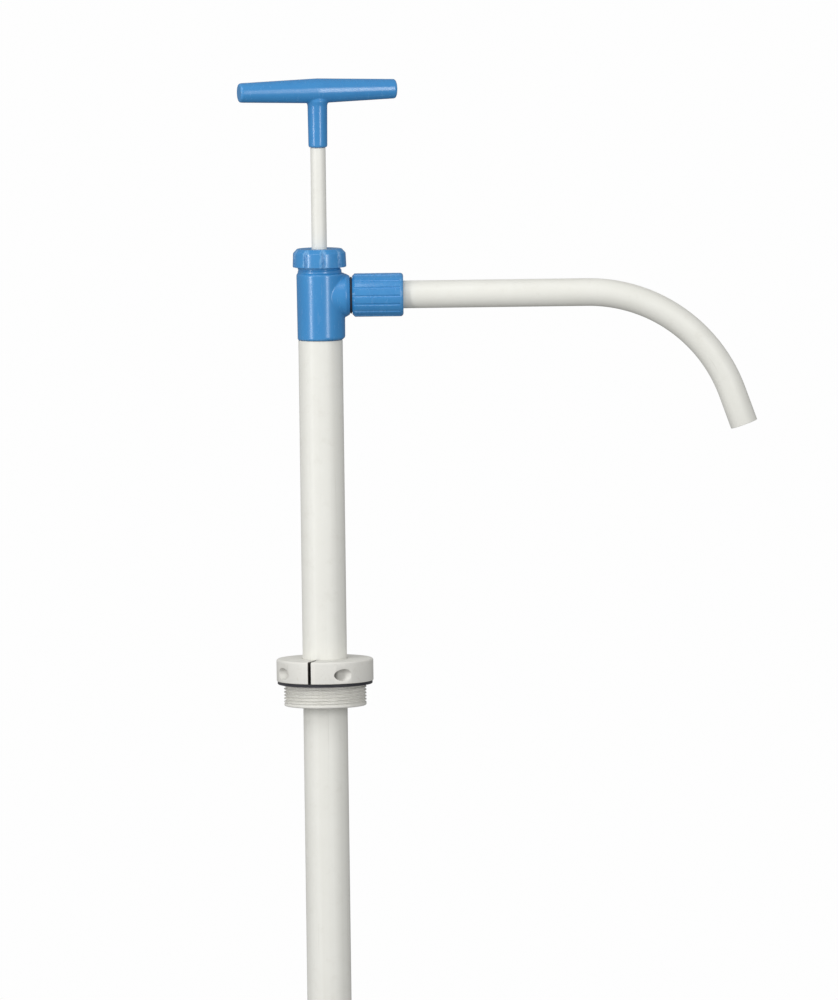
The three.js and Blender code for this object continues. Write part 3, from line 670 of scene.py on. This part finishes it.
def clamp_nut():
    start, end = -12.5 * MM, -9.3 * MM
    corners = 4.04 * MM
    crown_radius = corners + 0.2 * MM
    bevel = 0.6 * MM
    nut = cylinder(corners, start, end, segments=6)
    nut.name = nut.data.name = "clamp_nut_hexagon"
    crown = turned("crown", outline(
        (corners - bevel, start), (crown_radius, start + bevel),
        (crown_radius, end - bevel), (corners - bevel, end)), MEDIUM, closed=False)
    merge_shapes(nut, "INTERSECT", crown)
    merge_shapes(nut, "DIFFERENCE", cylinder(SCREW_HOLE, start - MM, end + MM, segments=COARSE))
    soften(nut, 0.12 * MM, angle=40, segments=2)
    finished(along_clamp(nut), "drum_collar", "stainless_steel", STEEL, "clamp_nut")


# ---------------------------------------------------------------- immersion tube and foot


def immersion_tube():
    foot, top = low("immersion_tube").z, high("immersion_tube").z
    corner = 0.5 * MM
    tube = turned("immersion_tube_extrusion", outline(
        (TUBE_BORE, foot, corner), (TUBE_RADIUS, foot, corner),
        (TUBE_RADIUS, top, corner), (TUBE_BORE, top, corner)))
    finished(tube, "pump_tube", "cream_plastic", PIPE, "immersion_tube")


def foot_valve_seat():
    foot, tube_end = low("foot_valve_seat").z, low("immersion_tube").z
    flange_top = tube_end - GAP
    flange_foot = flange_top - 3.4 * MM
    skirt = 12.6 * MM
    bore = 6.5 * MM
    spigot = TUBE_BORE - GAP
    chamber = 9.25 * MM
    seat = tube_end + 5 * MM
    plug = turned("foot_valve_plug", outline(
        (bore, foot, 0.5 * MM),
        (skirt, foot, 0.5 * MM),
        (skirt, flange_foot),
        (TUBE_RADIUS, flange_foot, 0.5 * MM),
        (TUBE_RADIUS, flange_top, 0.5 * MM),
        (spigot, flange_top),
        (spigot, high("foot_valve_seat").z, 1.0 * MM),
        (chamber, high("foot_valve_seat").z, 0.5 * MM),
        (chamber, seat + chamber - bore),
        (bore, seat),
    ))
    pin_height = (low("foot_stop_pin").z + high("foot_stop_pin").z) / 2
    pin_hole = high("foot_stop_pin").y + GAP
    hole = cylinder(pin_hole, -TUBE_RADIUS, TUBE_RADIUS, "X", (0, 0, pin_height), COARSE)
    merge_shapes(plug, "DIFFERENCE", hole)
    finished(plug, "pump_tube", "cream_plastic", CREAM, "foot_valve_seat")


def foot_strainer():
    foot, top = low("foot_strainer").z, high("foot_strainer").z
    inner = 12.9 * MM
    strainer = turned("foot_strainer_cap", outline(
        (inner, foot, 0.4 * MM), (TUBE_RADIUS, foot, 1.0 * MM),
        (TUBE_RADIUS, top, 0.6 * MM), (inner, top)))
    notch_width, notch_height = 5 * MM, 8 * MM
    for i in range(3):
        notch = block((3 * TUBE_RADIUS, notch_width, 2 * notch_height), (0, 0, foot), i * math.pi / 3)
        merge_shapes(strainer, "DIFFERENCE", notch)
    soften(strainer, 0.4 * MM, angle=50, segments=3)
    finished(strainer, "pump_tube", "cream_plastic", CREAM, "foot_strainer")


BALL_CUTS = 19


def ball(name, node, body):
    """A true ball from a subdivided cube."""
    centre = (low(node) + high(node)) / 2
    deselect()
    bpy.ops.mesh.primitive_cube_add(size=1, location=centre)
    made = bpy.context.object
    made.name = made.data.name = name
    settle(made)
    bpy.ops.object.mode_set(mode="EDIT")
    bpy.ops.mesh.select_all(action="SELECT")
    bpy.ops.mesh.subdivide(number_cuts=BALL_CUTS)
    bpy.ops.object.mode_set(mode="OBJECT")
    radius = (high(node).z - low(node).z) / 2
    for vertex in made.data.vertices:
        vertex.co = centre + (vertex.co - centre).normalized() * radius
    finished(made, body, "white_plastic", WHITE, node)


# ---------------------------------------------------------------- head tee

HEAD_BODY_TOP = HEAD_BOTTOM + 48 * MM
HEAD_TOP = high("pump_head").z
BRANCH_SHOULDER = 21.6 * MM
BRANCH_END = high("pump_head").x


def head_body():
    """The slightly tapered barrel, a little off the tube's axis towards the outlet."""
    body = turned("pump_head_moulding", outline(
        (17.2 * MM, HEAD_BOTTOM),
        (17.5 * MM, HEAD_BODY_TOP, 1.4 * MM),
        (12 * MM, HEAD_BODY_TOP),
    ), closed=False)
    body.location.x = 0.7 * MM
    settle(body)
    bevel_foot, bevel_rise = TUBE_RADIUS + 0.2 * MM, 4 * MM
    bevel = turned("bevel", outline(
        (bevel_foot, HEAD_BOTTOM),
        (bevel_foot + bevel_rise, HEAD_BOTTOM + bevel_rise),
        (bevel_foot + bevel_rise, HEAD_TOP),
    ), closed=False)
    return merge_shapes(body, "INTERSECT", bevel)


def head_branch():
    shoulder_radius = 15.5 * MM
    branch = turned("branch", outline(
        (shoulder_radius, 0),
        (shoulder_radius, 19 * MM),
        (14 * MM, BRANCH_SHOULDER, 0.5 * MM),
        (OUTLET_THREAD_RADIUS, BRANCH_SHOULDER),
        (OUTLET_THREAD_RADIUS, BRANCH_END, 0.5 * MM),
        (10 * MM, BRANCH_END),
    ), closed=False)
    return lay_along_x(branch, OUTLET_AXIS)


def head_spigot(foot):
    """The part inside the tube, with a groove for the seal ring."""
    radius, groove_radius = TUBE_BORE - GAP, 11.9 * MM
    groove_foot, groove_top = HEAD_BOTTOM - 9 * MM, HEAD_BOTTOM - 6 * MM
    return turned("spigot", outline(
        (10 * MM, foot),
        (radius, foot, 0.8 * MM),
        (radius, groove_foot),
        (groove_radius, groove_foot),
        (groove_radius, groove_top),
        (radius, groove_top),
        (radius, HEAD_BOTTOM + 2 * MM),
    ), closed=False)


def head_neck():
    return turned("neck", outline(
        (NECK_RADIUS, HEAD_BODY_TOP - 2 * MM),
        (NECK_RADIUS, HEAD_TOP, 0.8 * MM),
        (12 * MM, HEAD_TOP),
    ), closed=False)


def head_hollows(foot):
    """The chamber, the rod's hole, the gland pocket, the outlet's bore and the spout's socket."""
    bore, chamber_radius = 10.5 * MM, 12.5 * MM
    chamber_top, pocket_floor = HEAD_BOTTOM + 41.5 * MM, HEAD_BOTTOM + 45 * MM
    outlet_bore, socket_floor = 8.5 * MM, 24 * MM
    on_outlet = (0, 0, OUTLET_AXIS)
    chamber = turned("chamber", outline(
        (bore, foot - MM),
        (bore, HEAD_BOTTOM),
        (chamber_radius, HEAD_BOTTOM + 2 * MM),
        (chamber_radius, chamber_top, 1.0 * MM),
        (8 * MM, chamber_top),
    ), MEDIUM, closed=False)
    return [
        chamber,
        cylinder(ROD_RADIUS + GAP, chamber_top - 1.5 * MM, pocket_floor + MM),
        cylinder(9.6 * MM, pocket_floor, HEAD_TOP + MM),
        cylinder(outlet_bore, 0, socket_floor + MM, "X", on_outlet),
        cylinder(SPOUT_RADIUS + GAP, socket_floor, BRANCH_END + 2 * MM, "X", on_outlet),
    ]


def pump_head():
    foot = low("pump_head").z
    head = head_body()
    merge_shapes(head, "UNION", head_branch(), head_spigot(foot), head_neck())
    merge_shapes(head, "DIFFERENCE", *head_hollows(foot))
    mould(head, 0.5 * MM, rounds=4)
    end_chamfer = 0.6 * MM
    cut_thread(
        head, NECK_RADIUS, 1.1 * MM, HEAD_THREAD_PITCH,
        HEAD_BODY_TOP + 1.2 * MM, HEAD_TOP - end_chamfer)
    cut_thread(
        head, OUTLET_THREAD_RADIUS, 1.0 * MM, HEAD_THREAD_PITCH,
        BRANCH_SHOULDER + 1.5 * MM, BRANCH_END - end_chamfer, "X", OUTLET_AXIS)
    finished(head, "pump_tube", "blue_plastic", BLUE, "pump_head", angle=60)


# ---------------------------------------------------------------- gland


def gland_follower():
    foot, top = low("gland_follower").z, high("gland_follower").z
    bore = ROD_RADIUS + GAP
    nose = 9.3 * MM
    flange = high("gland_follower").y
    flange_foot = high("pump_head").z + GAP
    corner = 0.4 * MM
    follower = turned("gland_follower_bush", outline(
        (bore, foot, corner), (nose, foot, corner), (nose, flange_foot), (flange, flange_foot, corner),
        (flange, top, corner), (bore, top, corner)), MEDIUM)
    finished(follower, "gland_follower", "white_plastic", WHITE, "gland_follower")


CAP_GRIPS = 9
CAP_GRIP_TURN = math.radians(9)
CAP_GRIP_RADIUS = 1.3 * MM
CAP_GRIP_CENTRE = 19.1 * MM


def gland_cap():
    foot, top = low("gland_cap").z, high("gland_cap").z
    foot_radius, top_radius = 19.4 * MM, 19.0 * MM
    bore, rod_hole = NECK_RADIUS + GAP, ROD_RADIUS + GAP
    lid_foot = top - 2.3 * MM
    dish, dish_floor = ROD_RADIUS + 1.6 * MM, top - 0.5 * MM
    cap = turned("gland_cap_moulding", outline(
        (bore, foot, 0.5 * MM),
        (foot_radius, foot, 0.6 * MM),
        (top_radius, top - 3 * MM, 0.8 * MM),
        (top_radius - 2.8 * MM, top, 0.9 * MM),
        (dish + 0.8 * MM, top),
        (dish, dish_floor),
        (rod_hole, dish_floor),
        (rod_hole, lid_foot),
        (bore, lid_foot),
    ))
    for i in range(CAP_GRIPS):
        turn = CAP_GRIP_TURN + i * math.tau / CAP_GRIPS
        centre = (CAP_GRIP_CENTRE * math.sin(turn), -CAP_GRIP_CENTRE * math.cos(turn), 0)
        grip = cylinder(CAP_GRIP_RADIUS, foot - MM, top + MM, "Z", centre, COARSE)
        merge_shapes(cap, "DIFFERENCE", grip)
    soften(cap, 0.22 * MM, angle=38, segments=3)
    finished(cap, "gland_cap", "blue_plastic", BLUE, "gland_cap", angle=38)


# ---------------------------------------------------------------- outlet


def thread_root_ring():
    start, end = low("thread_root_ring").x, high("thread_root_ring").x
    inner, outer = 12.6 * MM, 13.3 * MM
    corner = 0.3 * MM
    ring = turned("thread_root_seal", outline(
        (inner, start, corner), (outer, start, corner), (outer, end, corner), (inner, end, corner)))
    finished(lay_along_x(ring, OUTLET_AXIS), "pump_tube", "black_rubber", RUBBER, "thread_root_ring")


def grip_ring():
    start, end = low("grip_ring").x, high("grip_ring").x
    bore = SPOUT_RADIUS + GAP
    corner = 0.25 * MM
    ring = turned("grip_ring_cone", outline(
        (bore, start, corner), (OUTLET_THREAD_RADIUS, start, corner),
        (OUTLET_THREAD_RADIUS, start + MM), (11.4 * MM, end, corner), (bore, end, corner)), MEDIUM)
    split_width, reach = 2 * MM, OUTLET_THREAD_RADIUS
    merge_shapes(ring, "DIFFERENCE", block((reach, split_width, 2 * end), (-reach, 0, end)))
    finished(lay_along_x(ring, OUTLET_AXIS), "grip_ring", "white_plastic", WHITE, "grip_ring")


NUT_GROOVES = 16
NUT_GROOVE_RADIUS = 1.1 * MM
NUT_GROOVE_DEPTH = 0.65 * MM
NUT_RADIUS = 15.7 * MM
NUT_SEGMENTS = 192


def union_nut():
    start, end = low("union_nut").x, high("union_nut").x
    bore = OUTLET_THREAD_RADIUS + GAP
    throat, throat_radius = 55.8 * MM, 11.7 * MM
    shoulder = 50.1 * MM
    chamfer = 1.8 * MM
    nut = turned("union_nut_moulding", outline(
        (bore, start, 0.3 * MM),
        (NUT_RADIUS - chamfer, start, 0.4 * MM),
        (NUT_RADIUS, start + chamfer, 0.5 * MM),
        (NUT_RADIUS, end, 2.2 * MM),
        (SPOUT_RADIUS + GAP, end, 0.3 * MM),
        (SPOUT_RADIUS + GAP, throat),
        (throat_radius, throat),
        (bore, shoulder),
    ), NUT_SEGMENTS)
    centre = NUT_RADIUS + NUT_GROOVE_RADIUS - NUT_GROOVE_DEPTH
    groove_end = end - 2.4 * MM
    for i in range(NUT_GROOVES):
        turn = i * math.tau / NUT_GROOVES
        place = (centre * math.cos(turn), centre * math.sin(turn), 0)
        groove = cylinder(NUT_GROOVE_RADIUS, start - MM, groove_end, "Z", place, COARSE)
        soften(groove, 0.4 * MM, angle=60)
        merge_shapes(nut, "DIFFERENCE", groove)
    finished(lay_along_x(nut, OUTLET_AXIS), "union_nut", "blue_plastic", BLUE, "union_nut", angle=30)


SPOUT_BEND_STEPS = 96


def spout():
    """A straight run from the head, a bend down and a short straight tail."""
    bend_radius = 110 * MM
    bend = math.radians(70.5)
    tail = 25 * MM
    start = low("spout").x
    reach = (bend_radius + SPOUT_RADIUS) * math.sin(bend) + tail * math.cos(bend)
    straight_end = high("spout").x - reach
    deselect()
    bpy.ops.mesh.primitive_circle_add(
        vertices=FINE, radius=SPOUT_RADIUS, rotation=(0, math.pi / 2, 0))
    pipe = bpy.context.object
    pipe.name = pipe.data.name = "spout_bent_pipe"
    pipe.location = (start, 0, OUTLET_AXIS)
    settle(pipe)
    bpy.ops.object.mode_set(mode="EDIT")
    bpy.ops.mesh.select_all(action="SELECT")
    bpy.ops.mesh.extrude_region_move(TRANSFORM_OT_translate={"value": (straight_end - start, 0, 0)})
    centre = (straight_end, 0, OUTLET_AXIS - bend_radius)
    bpy.ops.mesh.spin(steps=SPOUT_BEND_STEPS, angle=-bend, center=centre, axis=(0, 1, 0))
    run = Vector((math.cos(bend), 0, -math.sin(bend))) * tail
    bpy.ops.mesh.extrude_region_move(TRANSFORM_OT_translate={"value": run})
    face_outwards(pipe)
    modify(pipe, "SOLIDIFY", thickness=SPOUT_RADIUS - SPOUT_BORE, offset=-1, use_even_offset=True)
    soften(pipe, 0.35 * MM, angle=60)
    finished(pipe, "spout", "cream_plastic", SPOUT_PIPE, "spout")


# ---------------------------------------------------------------- rod and handle


def piston_rod():
    foot, top = low("piston_rod").z, high("piston_rod").z
    end_radius = 3.9 * MM
    shoulder = low("t_handle").z - GAP
    piston_top = high("piston_cage").z + GAP
    corner = 0.4 * MM
    rod = turned("piston_rod_extrusion", outline(
        (end_radius, foot), (end_radius, piston_top), (ROD_RADIUS, piston_top, corner),
        (ROD_RADIUS, shoulder, corner), (end_radius, shoulder), (end_radius, top)), MEDIUM, closed=False)
    finished(rod, "rod_and_handle", "cream_plastic", PIPE, "piston_rod")


def t_handle():
    """A grip that is thickest in the middle, on a stem with a blind hole for the rod."""
    half_length = 58.35 * MM
    end_radius, middle_radius = 7.0 * MM, 9.0 * MM
    grip_height = high("t_handle").z - middle_radius
    edge = 1.6 * MM
    grip = turned("t_handle_moulding", outline(
        (2 * MM, -half_length),
        (end_radius, -half_length, edge),
        (middle_radius, 0, 30 * MM),
        (end_radius, half_length, edge),
        (2 * MM, half_length),
    ), closed=False)
    lay_along_x(grip, grip_height)
    stem_foot = low("t_handle").z
    stem = turned("stem", outline(
        (6.2 * MM, stem_foot),
        (6.85 * MM, stem_foot + 0.9 * MM, 0.5 * MM),
        (7.15 * MM, grip_height - 10.5 * MM, 3 * MM),
        (8.0 * MM, grip_height - 7 * MM),
        (6 * MM, grip_height - 3 * MM),
    ), closed=False)
    merge_shapes(grip, "UNION", stem)
    socket_radius, socket_depth = 4.2 * MM, 24 * MM
    socket = cylinder(socket_radius, stem_foot - MM, stem_foot + socket_depth)
    merge_shapes(grip, "DIFFERENCE", socket)
    grip.rotation_euler = (0, 0, HANDLE_TURN)
    settle(grip)
    mould(grip, 0.5 * MM, rounds=6)
    finished(grip, "rod_and_handle", "blue_plastic", BLUE, "t_handle", angle=60)


# ---------------------------------------------------------------- inner pieces kept as they are

INNER = {
    "tube_seal_ring": RUBBER,
    "lower_rod_seal": RUBBER,
    "upper_rod_seal": RUBBER,
    "spout_seal": RUBBER,
    "piston_seal": RUBBER,
    "rod_guide_bush": WHITE,
    "piston_cage": WHITE,
    "piston_seat": WHITE,
    "foot_stop_pin": STEEL,
}


def dress_inner_pieces():
    """Seals, bushes, cages and the pin keep their CAD shape and get a finish."""
    for node, material in INNER.items():
        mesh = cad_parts[node].data
        mesh.materials.clear()
        mesh.materials.append(material)


# ---------------------------------------------------------------- floor and light

FLOOR_RADIUS = 2.2
FLOOR_SOLID = 0.35 * FLOOR_RADIUS
FLOOR_GONE = 0.98 * FLOOR_RADIUS
FLOOR_GRAIN = 20 * MM
WORLD_WHITE = 0.99
WORLD_BRIGHT = 0.62
WORLD_DARK = 0.14
BRIGHT_SIDE = Vector((-0.30, -0.68, 0.66)).normalized()


def pale_floor():
    """Off-white board that fades away towards its rim."""
    finish = Finish("pale_floor")
    x, y = finish.axis("X"), finish.axis("Y")
    grain = finish.noise(FLOOR_GRAIN, 3)
    colour = finish.blend(grain, (0.93, 0.93, 0.93, 1), (0.96, 0.96, 0.96, 1))
    finish.surface(colour, 0.85 + grain * 0.1)
    away = (x * x + y * y).root()
    finish.feed(finish.shader.inputs["Alpha"], 1 - finish.ramp(away, FLOOR_SOLID, FLOOR_GONE))
    return finish.material


def make_floor():
    """A disc just under the foot. It takes shadows and throws no light back."""
    deselect()
    height = low("foot_strainer").z - 0.5 * MM
    bpy.ops.mesh.primitive_circle_add(
        vertices=FINE, radius=FLOOR_RADIUS, fill_type="NGON", location=(0, 0, height))
    floor = bpy.context.object
    floor.name = "floor"
    settle(floor)
    floor.data.materials.append(pale_floor())
    floor.visible_diffuse = False
    floor.visible_glossy = False


def make_world():
    """White where the camera looks past everything, and a dimmer light from the upper left."""
    world = bpy.data.worlds.new("studio")
    bpy.context.scene.world = world
    world.use_nodes = True
    nodes, links = world.node_tree.nodes, world.node_tree.links
    nodes.clear()
    path = nodes.new("ShaderNodeLightPath")
    direction = nodes.new("ShaderNodeTexCoord")
    facing = nodes.new("ShaderNodeVectorMath")
    level = nodes.new("ShaderNodeMapRange")
    seen = nodes.new("ShaderNodeBackground")
    lit = nodes.new("ShaderNodeBackground")
    choose = nodes.new("ShaderNodeMixShader")
    output = nodes.new("ShaderNodeOutputWorld")
    facing.operation = "DOT_PRODUCT"
    facing.inputs[1].default_value = BRIGHT_SIDE
    level.inputs["From Min"].default_value = -1
    level.inputs["To Min"].default_value = WORLD_DARK
    level.inputs["To Max"].default_value = WORLD_BRIGHT
    seen.inputs["Color"].default_value = (1, 1, 1, 1)
    seen.inputs["Strength"].default_value = WORLD_WHITE
    lit.inputs["Color"].default_value = (0.99, 0.99, 1, 1)
    links.new(direction.outputs["Generated"], facing.inputs[0])
    links.new(facing.outputs["Value"], level.inputs["Value"])
    links.new(level.outputs[0], lit.inputs["Strength"])
    links.new(path.outputs["Is Camera Ray"], choose.inputs[0])
    links.new(lit.outputs[0], choose.inputs[1])
    links.new(seen.outputs[0], choose.inputs[2])
    links.new(choose.outputs[0], output.inputs[0])


AIM = Vector((50 * MM, 0, 200 * MM))


def soft_light(name, azimuth, elevation, distance, width, height, power):
    """A rectangular light aimed just below the outlet. Azimuth 0 is the camera's side."""
    azimuth, elevation = math.radians(azimuth), math.radians(elevation)
    level = math.cos(elevation)
    away = Vector((math.sin(azimuth) * level, -math.cos(azimuth) * level, math.sin(elevation)))
    data = bpy.data.lights.new(name, "AREA")
    data.shape = "RECTANGLE"
    data.size, data.size_y = width, height
    data.energy = power
    light = bpy.data.objects.new(name, data)
    bpy.context.scene.collection.objects.link(light)
    light.location = AIM + away * distance
    light.rotation_euler = away.to_track_quat("Z", "Y").to_euler()
    light.visible_camera = False
    return light


def make_lights():
    """Two tall strips for the highlights, a soft key from above, and a fill that leaves no highlight."""
    soft_light("left_strip", azimuth=-50, elevation=10, distance=3, width=0.28, height=1.9, power=30)
    soft_light("right_strip", azimuth=31, elevation=10, distance=3, width=0.26, height=1.9, power=26)
    soft_light("key", azimuth=-28, elevation=52, distance=3.4, width=1.8, height=1.8, power=28)
    back_fill = soft_light(
        "back_fill", azimuth=180, elevation=24, distance=3.4, width=1.6, height=1.6, power=34)
    back_fill.visible_glossy = False


# ---------------------------------------------------------------- build

bpy.context.scene.view_settings.view_transform = "Standard"
make_camera()
make_world()
make_lights()
make_floor()
drum_collar()
collar_gasket()
clamp_screw()
clamp_washer()
clamp_nut()
immersion_tube()
foot_valve_seat()
foot_strainer()
ball("foot_valve_ball", "foot_ball", "foot_ball")
ball("piston_valve_ball", "piston_ball", "piston_ball")
pump_head()
gland_follower()
gland_cap()
thread_root_ring()
grip_ring()
union_nut()
spout()
piston_rod()
t_handle()
dress_inner_pieces()

deselect()
bpy.context.view_layer.update()
